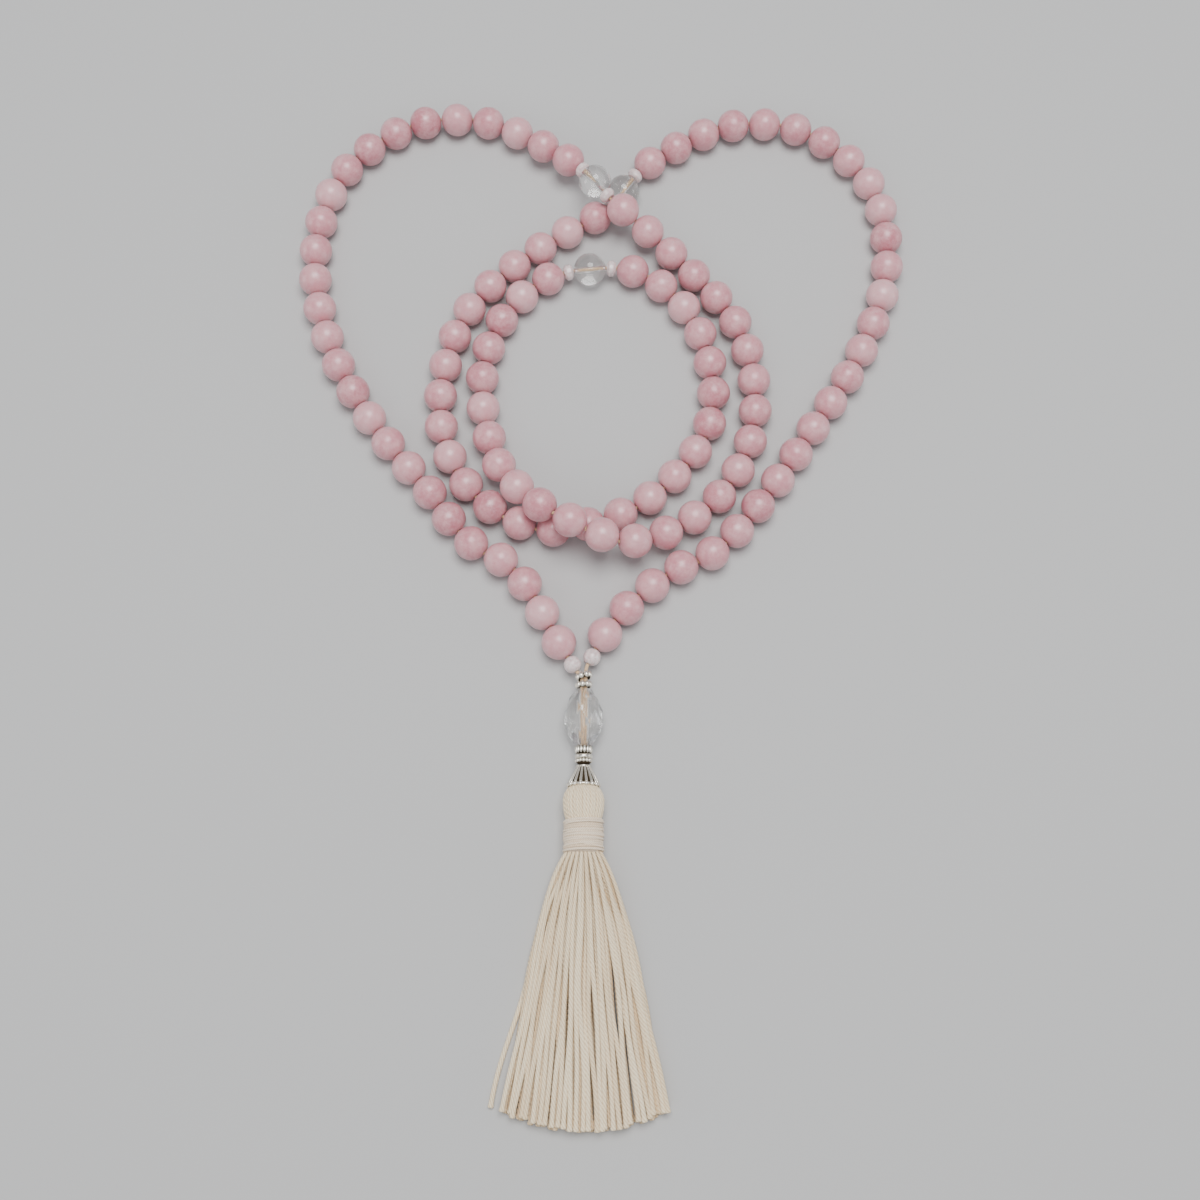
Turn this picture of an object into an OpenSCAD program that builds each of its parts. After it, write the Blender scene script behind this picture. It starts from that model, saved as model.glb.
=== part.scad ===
// Mala: a string of 108 round beads, three clear markers and a tassel, laid out in two lobes
// that cross at the top into a double inner coil. Units are millimetres, +Z is up and the
// origin lies on the table under the middle of the whole layout.

/* [Beads] */
// Diameter of each round bead
bead_d = 8; // [7.8:0.05:8]
// Diameter of the hole through every strung bead
bore_d = 1; // [0.9:0.05:1.4]
// Free room left between neighbours on the string
bead_gap = 0.08; // [0.04:0.01:0.08]

/* [Spacers] */
// Diameter of the faceted rondelles beside each clear marker
spacer_d = 4; // [3.4:0.1:4.2]
// Length of a rondelle along the string
spacer_len = 2.3; // [2:0.1:2.3]
// Diameter of the two small rounds at the knot
round_d = 4; // [3.6:0.1:4]

/* [Pendant] */
// Diameter of the silver daisy and double beads
silver_d = 4; // [3.6:0.1:4.2]
// Length of the clear faceted oval
oval_len = 12.8; // [12:0.1:14]
// Widest diameter of the clear faceted oval
oval_d = 9; // [8:0.1:9.2]
// Rim diameter of the ribbed silver cap
cap_rim_d = 7.2; // [6.6:0.1:7.6]
// Number of ribs round the cap
cap_ribs = 16; // [10:1:18]

/* [Tassel] */
// Diameter of the folded head of the tassel
head_d = 9.2; // [8.4:0.1:9.2]
// Length of the head below the cap
head_len = 6.8; // [6:0.1:8]
// Diameter over the wrapped neck
wrap_d = 8.8; // [8:0.1:9]
// Number of turns of the wrapping thread
wrap_turns = 11; // [8:1:13]
// Length of the wrapped neck
wrap_len = 7.4; // [6:0.1:8.5]
// Length of the loose threads below the neck
skirt_len = 57.4; // [40:0.2:60]
// Width of the fanned skirt at its cut end
skirt_w = 37.4; // [26:0.2:38]

/* [Thread] */
// Diameter of the stringing thread
thread_d = 0.8; // [0.6:0.05:0.8]

/* [Hidden] */
$fn = 48;
bead_r = bead_d / 2;
bore_r = bore_d / 2;
thread_r = thread_d / 2;
table_clear = 0.6;                 // the pendant's axis lies this much above the bead centres
beads_per_run = 27;                // beads between two clear markers
run_len = beads_per_run + 3;       // with the spacer, marker and spacer that follow them
pieces = 4 * run_len - 1;          // the two small rounds stand in for the last three
last = pieces - 1;
rose = [0.90, 0.68, 0.68];
clear = [0.88, 0.90, 0.92, 0.55];
milky = [0.95, 0.84, 0.83];
silver = [0.62, 0.61, 0.60];
cotton = [0.86, 0.80, 0.68];
tan_thread = [0.74, 0.62, 0.48];
salmon = [0.80, 0.50, 0.45];

// The string's route: down from the knot, round the left lobe, over the top crossing, twice
// round the inner coil, under the crossing and back down the right lobe to the knot.
route = [
    [-7, -24, 4], [-10, -19, 4], [-23.5, 1, 4], [-30.5, 5, 4], [-40.5, 17.5, 4], [-55.5, 36.5, 4],
    [-67, 58.5, 4], [-71, 82.5, 4], [-64.5, 105, 4], [-45, 119, 4], [-29, 119, 4],
    [-15, 111.5, 5.2], [-5, 103, 7.6], [-2, 99, 9], [1, 94.5, 9.8], [11, 87, 5.6],
    [22.5, 75.5, 4], [32, 63.5, 4], [36.5, 47, 4], [35, 30.5, 4], [27.5, 17, 4],
    [15, 7.5, 5.4], [7.5, 4.5, 7.6], [0, 5, 10], [-7.5, 8, 11.8], [-14.5, 12, 11],
    [-20, 17.5, 8.4], [-24.5, 24, 6.2], [-27, 31.5, 4.8], [-29, 47.5, 4], [-24.5, 63, 4],
    [-13, 74.5, 4], [-3, 77, 4], [7.5, 76.5, 4], [20, 66.5, 4], [26, 51.5, 4], [25.5, 35.5, 4],
    [17, 22, 4], [4.5, 12.5, 4], [-3.5, 10, 4], [-11.5, 8.5, 4], [-19, 10, 4], [-32, 19.5, 4],
    [-38.5, 34.5, 4], [-38, 50.5, 4], [-32.5, 66, 4], [-21.5, 78, 4], [-8.5, 87.5, 4],
    [2.5, 95, 4], [5.5, 99.5, 4], [8.5, 104, 4], [19, 112, 4], [33.5, 118.5, 4],
    [49.5, 117.5, 4], [67.5, 101.5, 4], [70.5, 78, 4], [63, 55, 4], [50, 34, 4], [36, 14, 4],
    [25, 2.5, 4], [17.5, -1, 4], [0, -17.5, 4], [-3, -23, 4]
];

// A smooth curve through the route: cubic pieces whose slopes fit three neighbouring points.
steps = 12;
ends = len(route) - 1;
span = [for (i = [0:ends - 1]) norm(route[i + 1] - route[i])];
function secant(i) = (route[i + 1] - route[i]) / span[i];
function slope(i) =
    i == 0 ? secant(0) :
    i == ends ? secant(ends - 1) :
    (span[i] * secant(i - 1) + span[i - 1] * secant(i)) / (span[i - 1] + span[i]);
function on_piece(i, t) =
    (2 * pow(t, 3) - 3 * t * t + 1) * route[i]
    + (pow(t, 3) - 2 * t * t + t) * span[i] * slope(i)
    + (3 * t * t - 2 * pow(t, 3)) * route[i + 1]
    + (pow(t, 3) - t * t) * span[i] * slope(i + 1);
function on_table(p) = [p[0], p[1], max(p[2], bead_r)];
curve = [for (i = [0:ends - 1]) for (k = [0:steps - 1]) on_table(on_piece(i, k / steps)), route[ends]];
run = [for (i = 0, s = 0; i < len(curve);
    s = s + (i + 1 < len(curve) ? norm(curve[i + 1] - curve[i]) : 0), i = i + 1) s];
table = [for (axis = [0:2]) [for (i = [0:len(curve) - 1]) [run[i], curve[i][axis]]]];
function at(s) = [for (axis = [0:2]) lookup(s, table[axis])];

// What is strung at each place, counted from the left small round to the right one.
spacer_play = 0.1;                 // room at each face of a rondelle, which lies askew on a bend
function in_run(i) = (i - 1) % run_len;
function is_round(i) = i == 0 || i == last;
function is_spacer(i) = !is_round(i) && (in_run(i) == beads_per_run || in_run(i) == beads_per_run + 2);
function half_len(i) = is_round(i) ? round_d / 2 : is_spacer(i) ? spacer_len / 2 + spacer_play : bead_r;

// Each piece sits one piece length and one gap from the last, measured straight across.
function next(s, want) =
    let (a = s + want, b = a + want - norm(at(a) - at(s)))
    b + want - norm(at(b) - at(s));
places = [for (i = 0, s = 0; i < pieces;
    s = next(s, half_len(i) + half_len(min(i + 1, last)) + bead_gap), i = i + 1) s];
centres = [for (s = places) at(s)];
function unit(v) = v / norm(v);
function along(i) = unit(centres[min(i + 1, last)] - centres[max(i - 1, 0)]);
function mouth(i, side) = centres[i] + side * half_len(i) * along(i);

// Index of the first bead of each run, and of the beads that the folds turn about.
left_first = 1;
left_last = beads_per_run;
outer_first = left_first + run_len;
inner_first = outer_first + 21;
outer_back = inner_first + 16;
right_first = outer_first + 2 * run_len;
right_last = last - 1;
marker_of = [left_first + 28, outer_first + 28, outer_first + run_len + 28];

// The pendant hangs in a straight line; each value is where a piece starts.
pendant_x = -4.45;
pendant_z = bead_r + table_clear;
daisy_len = 1.55;
ribbed_len = 1.8;
double_len = 2.35;
cap_len = 5;
play = 0.12;
upper_daisy_y = -26.6;
lower_daisy_y = upper_daisy_y - daisy_len - play;
oval_y = lower_daisy_y - daisy_len - play;
ribbed_y = oval_y - oval_len - play;
double_y = ribbed_y - ribbed_len - play;
cap_y = double_y - double_len - play;
head_y = cap_y - cap_len - play;
wrap_y = head_y - head_len;
skirt_y = wrap_y - wrap_len - play;
pendant_bore_r = 0.9;
thread_off = thread_r + 0.02;      // the doubled thread lies side by side
neck_r = wrap_d / 2 - 0.8;
cap_wall = 0.5;

// Stands a shape that is made along Z at a place on the string, lined up with the string.
module strung(i) {
    d = along(i);
    translate(centres[i])
        rotate([0, acos(d[2]), atan2(d[1], d[0])])
            children();
}

// Hangs a shape that is made along Z on the pendant, downwards from a start along Y.
module hung(y) {
    translate([pendant_x, y, pendant_z])
        rotate([90, 0, 0])
            children();
}

module drilled_ball(d) {
    difference() {
        sphere(d = d);
        cylinder(h = 2 * d, r = bore_r, center = true);
    }
}

module bead_run(first, count) {
    color(rose)
        for (i = [first:first + count - 1])
            strung(i) drilled_ball(bead_d);
}

module marker(i) {
    color(clear) strung(marker_of[i]) drilled_ball(bead_d);
}

module rondelle(i) {
    half = spacer_len / 2;
    flat = 0.75;
    girdle = 0.35;
    color(milky)
        strung(i)
            difference() {
                rotate_extrude()
                    polygon([[0, -half], [flat, -half], [spacer_d / 2, -girdle],
                        [spacer_d / 2, girdle], [flat, half], [0, half]]);
                cylinder(h = 2 * spacer_len, r = bore_r, center = true);
            }
}

module small_round(i) {
    color(milky) strung(i) drilled_ball(round_d);
}

// A tube of the string: one ring at each mouth of each bead, straight through the holes.
module tube(points, directions, r) {
    sides = 8;
    rings = len(points);
    vertices = [for (k = [0:rings - 1])
        let (u = unit(cross(directions[k], [0, 0, 1])), v = cross(u, directions[k]))
        for (j = [0:sides - 1])
            points[k] + r * (cos(360 * j / sides) * u + sin(360 * j / sides) * v)];
    walls = [for (k = [0:rings - 2]) for (j = [0:sides - 1])
        [k * sides + j, k * sides + (j + 1) % sides,
            (k + 1) * sides + (j + 1) % sides, (k + 1) * sides + j]];
    cap_low = [for (j = [sides - 1:-1:0]) j];
    cap_high = [for (j = [0:sides - 1]) (rings - 1) * sides + j];
    polyhedron(points = vertices, faces = concat([cap_low], walls, [cap_high]));
}

module string_through(first, end) {
    tube([for (i = [first:end]) for (side = [-1, 1]) mouth(i, side)],
        [for (i = [first:end]) for (side = [-1, 1]) along(i)], thread_r);
}

module left_lobe_thread() {
    color(salmon) string_through(left_first, left_last);
}

module right_lobe_thread() {
    color(salmon) string_through(right_first, right_last);
}

module outer_coil_thread_over() {
    color(salmon) string_through(left_last + 1, inner_first - 1);
}

module outer_coil_thread_under() {
    color(salmon) string_through(outer_back, right_first - 1);
}

module inner_coil_thread() {
    color(salmon) string_through(inner_first, outer_back - 1);
}

// Both ends of the string leave the small rounds and come together above the upper daisy.
module knot_end(i, side, off) {
    shy = 0.05;
    gate = [pendant_x + off, upper_daisy_y + 0.62, pendant_z];
    turn = side * along(i);
    near_round = mouth(i, side);
    far_round = mouth(i, -side) - shy * turn;
    tube([far_round, near_round, gate], [turn, unit(gate - far_round), [0, -1, 0]], thread_r);
}

module knot_thread() {
    color(salmon) {
        knot_end(0, -1, -thread_off);
        knot_end(last, 1, thread_off);
    }
}

module doubled_thread(y, length) {
    color(salmon)
        hung(y)
            for (side = [-1, 1])
                translate([side * thread_off, 0, 0]) cylinder(h = length, r = thread_r);
}

module daisy_thread() {
    doubled_thread(upper_daisy_y + 0.16, daisy_len + 0.21);
}

module pendant_thread() {
    doubled_thread(lower_daisy_y + 0.02, lower_daisy_y - cap_y - 0.06);
}

module tassel_thread() {
    doubled_thread(cap_y, cap_len + head_len / 2 - 1.2);
}

// A flower-shaped bead: a ring of eight round grains on a thin drilled disc.
module daisy(y, grains) {
    grain_r = daisy_len / 2;
    ring_r = silver_d / 2 - grain_r;
    color(silver)
        hung(y)
            difference() {
                union() {
                    cylinder(h = daisy_len, r = ring_r + 0.2);
                    for (k = [0:grains - 1])
                        rotate([0, 0, 360 * k / grains])
                            translate([ring_r, 0, grain_r]) sphere(r = grain_r, $fn = 24);
                }
                translate([0, 0, -1]) cylinder(h = daisy_len + 2, r = pendant_bore_r);
            }
}

// A silver bead of one or more rounded rings side by side.
module ringed_bead(y, length, rings) {
    ring_r = length / rings / 2;
    color(silver)
        hung(y)
            difference() {
                rotate_extrude()
                    union() {
                        square([silver_d / 2 - ring_r, length]);
                        for (k = [0:rings - 1])
                            translate([silver_d / 2 - ring_r, ring_r * (2 * k + 1)]) circle(r = ring_r, $fn = 32);
                    }
                translate([0, 0, -1]) cylinder(h = length + 2, r = pendant_bore_r);
            }
}

// The clear oval: flat-sided rings turned half a side against each other give long facets.
module clear_oval() {
    sides = 10;
    outline = [[0, 0.30], [0.17, 0.74], [0.38, 1], [0.62, 1], [0.82, 0.78], [1, 0.42]];
    slice = 0.02;
    color(clear)
        hung(oval_y)
            difference() {
                hull()
                    for (k = [0:len(outline) - 1])
                        translate([0, 0, outline[k][0] * (oval_len - slice)])
                            rotate([0, 0, 180 / sides * (k % 2)])
                                cylinder(h = slice, r = outline[k][1] * oval_d / 2, $fn = sides);
                translate([0, 0, -1]) cylinder(h = oval_len + 2, r = pendant_bore_r);
            }
}

// The cap: a thin cone with a ball at the foot of each rib, open below.
module tassel_cap() {
    top_r = 1.5;
    rim_r = cap_rim_d / 2;
    ball_r = 0.55;
    color(silver)
        hung(cap_y)
            difference() {
                union() {
                    cylinder(h = cap_len - ball_r, r1 = top_r, r2 = rim_r - 0.1);
                    for (k = [0:cap_ribs - 1])
                        rotate([0, 0, 360 * k / cap_ribs])
                            translate([rim_r - ball_r / 2, 0, cap_len - ball_r]) sphere(r = ball_r, $fn = 24);
                }
                translate([0, 0, cap_wall])
                    cylinder(h = cap_len, r1 = top_r - 0.35, r2 = rim_r - 0.1);
                translate([0, 0, -1]) cylinder(h = cap_len, r = pendant_bore_r);
            }
}

// The folded threads: a cone inside the cap, a rounded head and the neck under the wrap.
module tassel_head() {
    head_r = head_d / 2;
    full = cap_len + head_len;
    color(cotton)
        hung(cap_y)
            difference() {
                rotate_extrude()
                    polygon([[0, 1.6], [1.2, 1.6], [2.9, cap_len - 0.2], [3.3, cap_len + play],
                        [head_r - 0.5, cap_len + 0.7], [head_r, cap_len + 1.9],
                        [head_r, full - 2], [head_r - 0.5, full - 0.4], [neck_r, full + play],
                        [neck_r, full + play + wrap_len], [0, full + play + wrap_len]]);
                cylinder(h = cap_len + head_len / 2, r = pendant_bore_r);
                translate([0, 0, cap_len + head_len / 2]) sphere(r = 1.7);
            }
}

// The knot that keeps the string from pulling out of the head.
module tassel_knot() {
    color(salmon) hung(cap_y) translate([0, 0, cap_len + head_len / 2]) sphere(r = 1.5);
}

// The wrap: turns of thread wound side by side round the neck.
module neck_wrap() {
    turn_r = wrap_len / wrap_turns / 2;
    coil_r = wrap_d / 2 - turn_r;
    color(tan_thread)
        hung(wrap_y - play)
            rotate_extrude()
                union() {
                    translate([neck_r, 0]) square([coil_r - neck_r, wrap_len]);
                    for (k = [0:wrap_turns - 1])
                        translate([coil_r, turn_r * (2 * k + 1)]) circle(r = turn_r, $fn = 24);
                }
}

// The skirt: a soft bell that flattens onto the table and ends in a shallow arc.
skirt_dome = 3.7;
skirt_flare = 4.2;                 // how far each side springs out just below the neck
skirt_flare_end = 0.06;            // share of the length over which most of that happens
skirt_rings = 14;
skirt_sides = 24;
function ease(t) = t * t * (3 - 2 * t);
function skirt_half_w(t) = skirt_dome + skirt_flare * (1 - exp(-t / skirt_flare_end))
    + (skirt_w / 2 - skirt_dome - skirt_flare) * t;
function skirt_thick(t) = 2 * skirt_dome - (2 * skirt_dome - 5) * ease(t);
function skirt_low(t) = (pendant_z - skirt_dome) * (1 - ease(min(1, 4 * t)));
function skirt_ring(y, half_w, low, thick, arc) = [
    for (j = [0:skirt_sides - 1])
        let (a = 360 * j / skirt_sides, x = half_w * cos(a))
        [pendant_x + x, y + arc * pow(x / half_w, 2), low + thick * (0.5 + 0.5 * sin(a))]];

module tassel_skirt() {
    hinge_y = skirt_y - skirt_dome;
    reach = skirt_len - skirt_dome;
    dome = [for (k = [0:3])
        let (a = 12 + 20 * k, r = skirt_dome * sin(a))
        skirt_ring(hinge_y + skirt_dome * cos(a), r, pendant_z - r, 2 * r, 0)];
    bell = [for (k = [0:skirt_rings])
        let (t = k / skirt_rings)
        skirt_ring(hinge_y - reach * t, skirt_half_w(t), skirt_low(t), skirt_thick(t), 4.5 * t * t)];
    rings = concat(dome, bell);
    n = skirt_sides;
    walls = [for (k = [0:len(rings) - 2]) for (j = [0:n - 1])
        let (a = k * n + j, b = k * n + (j + 1) % n, c = b + n, d = a + n)
        each [[a, b, c], [a, c, d]]];
    top_face = [for (j = [n - 1:-1:0]) j];
    low = (len(rings) - 1) * n;
    end_face = [for (j = [0:n / 2 - 1])
        j == 0 ? [low, low + 1, low + n - 1] :
        j == n / 2 - 1 ? [low + j, low + j + 1, low + j + 2] :
        [low + j, low + j + 1, low + n - j - 1, low + n - j]];
    color(cotton)
        polyhedron(points = [for (ring = rings) for (p = ring) p],
            faces = concat([top_face], walls, end_face));
}

bead_run(left_first, 9);  // left_lobe_beads_lower
bead_run(left_first + 9, 9);  // left_lobe_beads_middle
bead_run(left_first + 18, 9);  // left_lobe_beads_upper
bead_run(right_first, 9);  // right_lobe_beads_upper
bead_run(right_first + 9, 9);  // right_lobe_beads_middle
bead_run(right_first + 18, 9);  // right_lobe_beads_lower
bead_run(outer_first, 7);  // outer_coil_beads_right_upper
bead_run(outer_first + 7, 7);  // outer_coil_beads_right_lower
bead_run(outer_first + 14, 7);  // outer_coil_beads_over
bead_run(inner_first, 6);  // inner_coil_beads_left
bead_run(inner_first + 9, 7);  // inner_coil_beads_right
bead_run(outer_back, 7);  // outer_coil_beads_under
bead_run(outer_back + 7, 7);  // outer_coil_beads_left_lower
bead_run(outer_back + 14, 6);  // outer_coil_beads_left_upper
marker(0);  // marker_left
marker(1);  // marker_inner
marker(2);  // marker_right
rondelle(marker_of[0] - 1);  // spacer_left_outer
rondelle(marker_of[0] + 1);  // spacer_left_inner
rondelle(marker_of[1] - 1);  // spacer_inner_left
rondelle(marker_of[1] + 1);  // spacer_inner_right
rondelle(marker_of[2] - 1);  // spacer_right_inner
rondelle(marker_of[2] + 1);  // spacer_right_outer
small_round(0);  // small_round_left
small_round(last);  // small_round_right
daisy(upper_daisy_y, 7);  // upper_daisy
daisy(lower_daisy_y, 8);  // lower_daisy
clear_oval();
ringed_bead(ribbed_y, ribbed_len, 1);  // ribbed_daisy
ringed_bead(double_y, double_len, 2);  // double_bead
tassel_cap();
tassel_head();
neck_wrap();
tassel_skirt();
tassel_knot();
left_lobe_thread();
right_lobe_thread();
outer_coil_thread_over();
outer_coil_thread_under();
inner_coil_thread();
knot_thread();
daisy_thread();
pendant_thread();
tassel_thread();
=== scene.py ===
import math
import random
import bpy
import bmesh
from mathutils import Matrix, Vector


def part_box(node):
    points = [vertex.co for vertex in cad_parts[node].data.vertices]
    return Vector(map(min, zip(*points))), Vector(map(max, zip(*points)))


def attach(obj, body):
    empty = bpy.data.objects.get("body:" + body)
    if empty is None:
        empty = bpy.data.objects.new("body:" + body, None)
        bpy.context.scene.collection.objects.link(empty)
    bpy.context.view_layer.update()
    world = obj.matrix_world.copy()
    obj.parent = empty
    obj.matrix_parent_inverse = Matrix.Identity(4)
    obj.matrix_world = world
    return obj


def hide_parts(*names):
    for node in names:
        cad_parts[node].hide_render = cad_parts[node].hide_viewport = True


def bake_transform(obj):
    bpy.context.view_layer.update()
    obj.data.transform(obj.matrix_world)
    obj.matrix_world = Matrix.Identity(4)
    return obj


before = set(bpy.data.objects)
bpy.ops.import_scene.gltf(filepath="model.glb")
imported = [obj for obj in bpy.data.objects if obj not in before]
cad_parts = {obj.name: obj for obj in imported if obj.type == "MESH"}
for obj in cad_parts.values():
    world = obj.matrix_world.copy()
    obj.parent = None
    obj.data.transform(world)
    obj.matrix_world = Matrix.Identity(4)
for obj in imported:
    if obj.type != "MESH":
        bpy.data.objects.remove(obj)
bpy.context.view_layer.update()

mm = 0.001
dice = random.Random(27)
print("frame loaded:", len(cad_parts), "nodes")


def mix(a, b, t):
    return a + (b - a) * t


def ease(t):
    t = min(1.0, max(0.0, t))
    return t * t * (3 - 2 * t)


def centreOf(node):
    low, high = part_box(node)
    return Vector([(a + b) / 2 for a, b in zip(low, high)])


def finishShape(shape, name, material, body, nodes, smooth=True):
    # turns a bmesh into a piece that stands for its CAD nodes and, if one is named, rides on a body
    mesh = bpy.data.meshes.new(name)
    shape.to_mesh(mesh)
    shape.free()
    for face in mesh.polygons:
        face.use_smooth = smooth
    mesh.materials.append(material)
    piece = bpy.data.objects.new(name, mesh)
    bpy.context.scene.collection.objects.link(piece)
    if body:
        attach(piece, body)
    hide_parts(*nodes)
    return piece


def spinShape(profile, steps):
    # revolves a closed outline of (radius, height) points round Z
    shape = bmesh.new()
    points = [shape.verts.new((radius, 0, height)) for radius, height in profile]
    edges = [shape.edges.new(pair) for pair in zip(points, points[1:] + points[:1])]
    bmesh.ops.spin(shape, geom=points + edges, cent=(0, 0, 0), axis=(0, 0, 1), dvec=(0, 0, 0),
        angle=2 * math.pi, steps=steps, use_merge=True)
    bmesh.ops.remove_doubles(shape, verts=shape.verts, dist=1e-7)
    bmesh.ops.recalc_face_normals(shape, faces=shape.faces)
    return shape


def addCopy(shape, template, matrix, tone):
    # adds a copy of a template mesh, with one tone for all its points
    layer = shape.verts.layers.float.get("tone") or shape.verts.layers.float.new("tone")
    before = set(shape.verts)
    shape.from_mesh(template)
    added = [v for v in shape.verts if v not in before]
    for v in added:
        v[layer] = tone
    bmesh.ops.transform(shape, matrix=matrix, verts=added)


def asTemplate(shape, name):
    mesh = bpy.data.meshes.new(name)
    shape.to_mesh(mesh)
    shape.free()
    return mesh


def sweep(shape, points, radii, sides, tone=0.5, slip=0.0):
    # sweeps a ring along points; its UV map runs round the tube and, in metres, along it
    toneLayer = shape.verts.layers.float.get("tone") or shape.verts.layers.float.new("tone")
    uvLayer = shape.loops.layers.uv.get("UVMap") or shape.loops.layers.uv.new("UVMap")
    count = len(points)
    tangents = [(points[min(k + 1, count - 1)] - points[max(k - 1, 0)]).normalized()
        for k in range(count)]
    across = tangents[0].orthogonal().normalized()
    rings = []
    travelled = slip
    for k, (point, tangent) in enumerate(zip(points, tangents)):
        across = (across - tangent * across.dot(tangent)).normalized()
        upward = tangent.cross(across)
        ring = []
        for j in range(sides):
            angle = 2 * math.pi * j / sides
            outward = across * math.cos(angle) + upward * math.sin(angle)
            vert = shape.verts.new(point + outward * radii[k])
            vert[toneLayer] = tone(k / count) if callable(tone) else tone
            ring.append(vert)
        if k:
            step = (points[k] - points[k - 1]).length
            for j in range(sides):
                n = (j + 1) % sides
                face = shape.faces.new((rings[-1][j], rings[-1][n], ring[n], ring[j]))
                reached = travelled + step
                spots = ((j, travelled), (j + 1, travelled), (j + 1, reached), (j, reached))
                for loop, (around, along) in zip(face.loops, spots):
                    loop[uvLayer].uv = (around / sides, along)
            travelled += step
        rings.append(ring)
    for ring, end in ((rings[0][::-1], slip), (rings[-1], travelled)):
        for loop in shape.faces.new(ring).loops:
            loop[uvLayer].uv = (0.5, end)


class Tap:
    # one output socket, with the sums that materials need written as plain expressions
    def __init__(self, finish, socket):
        self.finish = finish
        self.socket = socket

    def sum(self, operation, first, second=None):
        values = [first] if second is None else [first, second]
        return self.finish.add("ShaderNodeMath", {"operation": operation}, dict(enumerate(values)))

    def __add__(self, other):
        return self.sum("ADD", self, other)

    def __radd__(self, other):
        return self.sum("ADD", other, self)

    def __sub__(self, other):
        return self.sum("SUBTRACT", self, other)

    def __mul__(self, other):
        return self.sum("MULTIPLY", self, other)

    def __truediv__(self, other):
        return self.sum("DIVIDE", self, other)

    def sine(self):
        return self.sum("SINE", self)

    def size(self):
        return self.sum("ABSOLUTE", self)


class Finish:
    # one material, built on a Principled shader
    def __init__(self, name, settings):
        self.material = bpy.data.materials.new(name)
        self.material.use_nodes = True
        self.tree = self.material.node_tree
        self.shader = self.tree.nodes["Principled BSDF"]
        for socket, value in settings.items():
            self.shader.inputs[socket].default_value = value

    def add(self, kind, settings, sockets, out=0):
        node = self.tree.nodes.new(kind)
        for setting, value in settings.items():
            if setting == "stops":
                self.fillRamp(node.color_ramp, value)
            else:
                setattr(node, setting, value)
        for socket, value in sockets.items():
            self.feed(node.inputs[socket], value)
        return Tap(self, node.outputs[out])

    def fillRamp(self, ramp, stops):
        while len(ramp.elements) < len(stops):
            ramp.elements.new(0.5)
        for element, (place, colour) in zip(ramp.elements, stops):
            element.position = place
            element.color = (*colour, 1)

    def feed(self, socket, value):
        if isinstance(value, Tap):
            self.tree.links.new(value.socket, socket)
        else:
            socket.default_value = value

    def give(self, socket, value):
        self.feed(self.shader.inputs[socket], value)

    def place(self):
        return self.add("ShaderNodeTexCoord", {}, {}, "Object")

    def own(self, name):
        return self.add("ShaderNodeAttribute", {"attribute_name": name}, {}, "Fac")

    def cloud(self, scale, detail=3.0, rough=0.5):
        return self.add("ShaderNodeTexNoise", {}, {
            "Vector": self.place(), "Scale": scale, "Detail": detail, "Roughness": rough}, "Fac")

    def ramp(self, factor, stops):
        return self.add("ShaderNodeValToRGB", {"stops": stops}, {"Fac": factor}, "Color")

    def blend(self, factor, first, second, way="MIX"):
        pair = [(*colour, 1) if isinstance(colour, tuple) else colour for colour in (first, second)]
        return self.add("ShaderNodeMix", {"data_type": "RGBA", "blend_type": way},
            {0: factor, 6: pair[0], 7: pair[1]}, 2)

    def bump(self, height, strength, distance):
        self.give("Normal", self.add("ShaderNodeBump", {}, {
            "Height": height, "Strength": strength, "Distance": distance}))


def roseQuartzFinish():
    # polished rose quartz: milky veils, each bead with its own depth of pink
    look = {"Roughness": 0.34, "IOR": 1.54, "Subsurface Weight": 0.4, "Subsurface Scale": 0.0018,
        "Coat Weight": 0.35, "Coat Roughness": 0.32}
    finish = Finish("rose quartz", look)
    finish.shader.inputs["Subsurface Radius"].default_value = (1.0, 0.5, 0.45)
    tone = finish.own("tone")
    veil = finish.cloud(330.0, 6.0, 0.65)
    fleck = finish.cloud(1500.0, 3.0, 0.6)
    deep = finish.ramp(tone, [
        (0.0, (0.69, 0.37, 0.40)), (0.5, (0.61, 0.26, 0.30)), (1.0, (0.52, 0.18, 0.22))])
    milk = finish.ramp(veil * 0.7 + fleck * 0.3, [(0.40, (0, 0, 0)), (0.62, (1, 1, 1))]) * 0.6
    finish.give("Base Color", finish.blend(milk, deep, (0.75, 0.48, 0.49)))
    finish.give("Roughness", 0.22 + fleck * 0.2)
    finish.bump(fleck, 0.08, 0.0001)
    return finish.material


def clearQuartzFinish():
    look = {"Base Color": (1, 0.995, 0.98, 1), "Roughness": 0.03, "IOR": 1.5, "Alpha": 0.85,
        "Transmission Weight": 1.0, "Coat Weight": 0.3, "Coat Roughness": 0.05}
    finish = Finish("clear quartz", look)
    finish.give("Roughness", 0.02 + finish.cloud(300.0) * 0.05)
    return finish.material


def milkyQuartzFinish():
    look = {"Roughness": 0.28, "IOR": 1.5, "Subsurface Weight": 0.6, "Subsurface Scale": 0.0015,
        "Coat Weight": 0.3, "Coat Roughness": 0.15}
    finish = Finish("milky quartz", look)
    finish.shader.inputs["Subsurface Radius"].default_value = (1.0, 0.8, 0.75)
    finish.give("Base Color", finish.ramp(finish.cloud(1100.0, 5.0, 0.65),
        [(0.36, (0.62, 0.49, 0.49)), (0.64, (0.84, 0.74, 0.72))]))
    return finish.material


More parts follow.
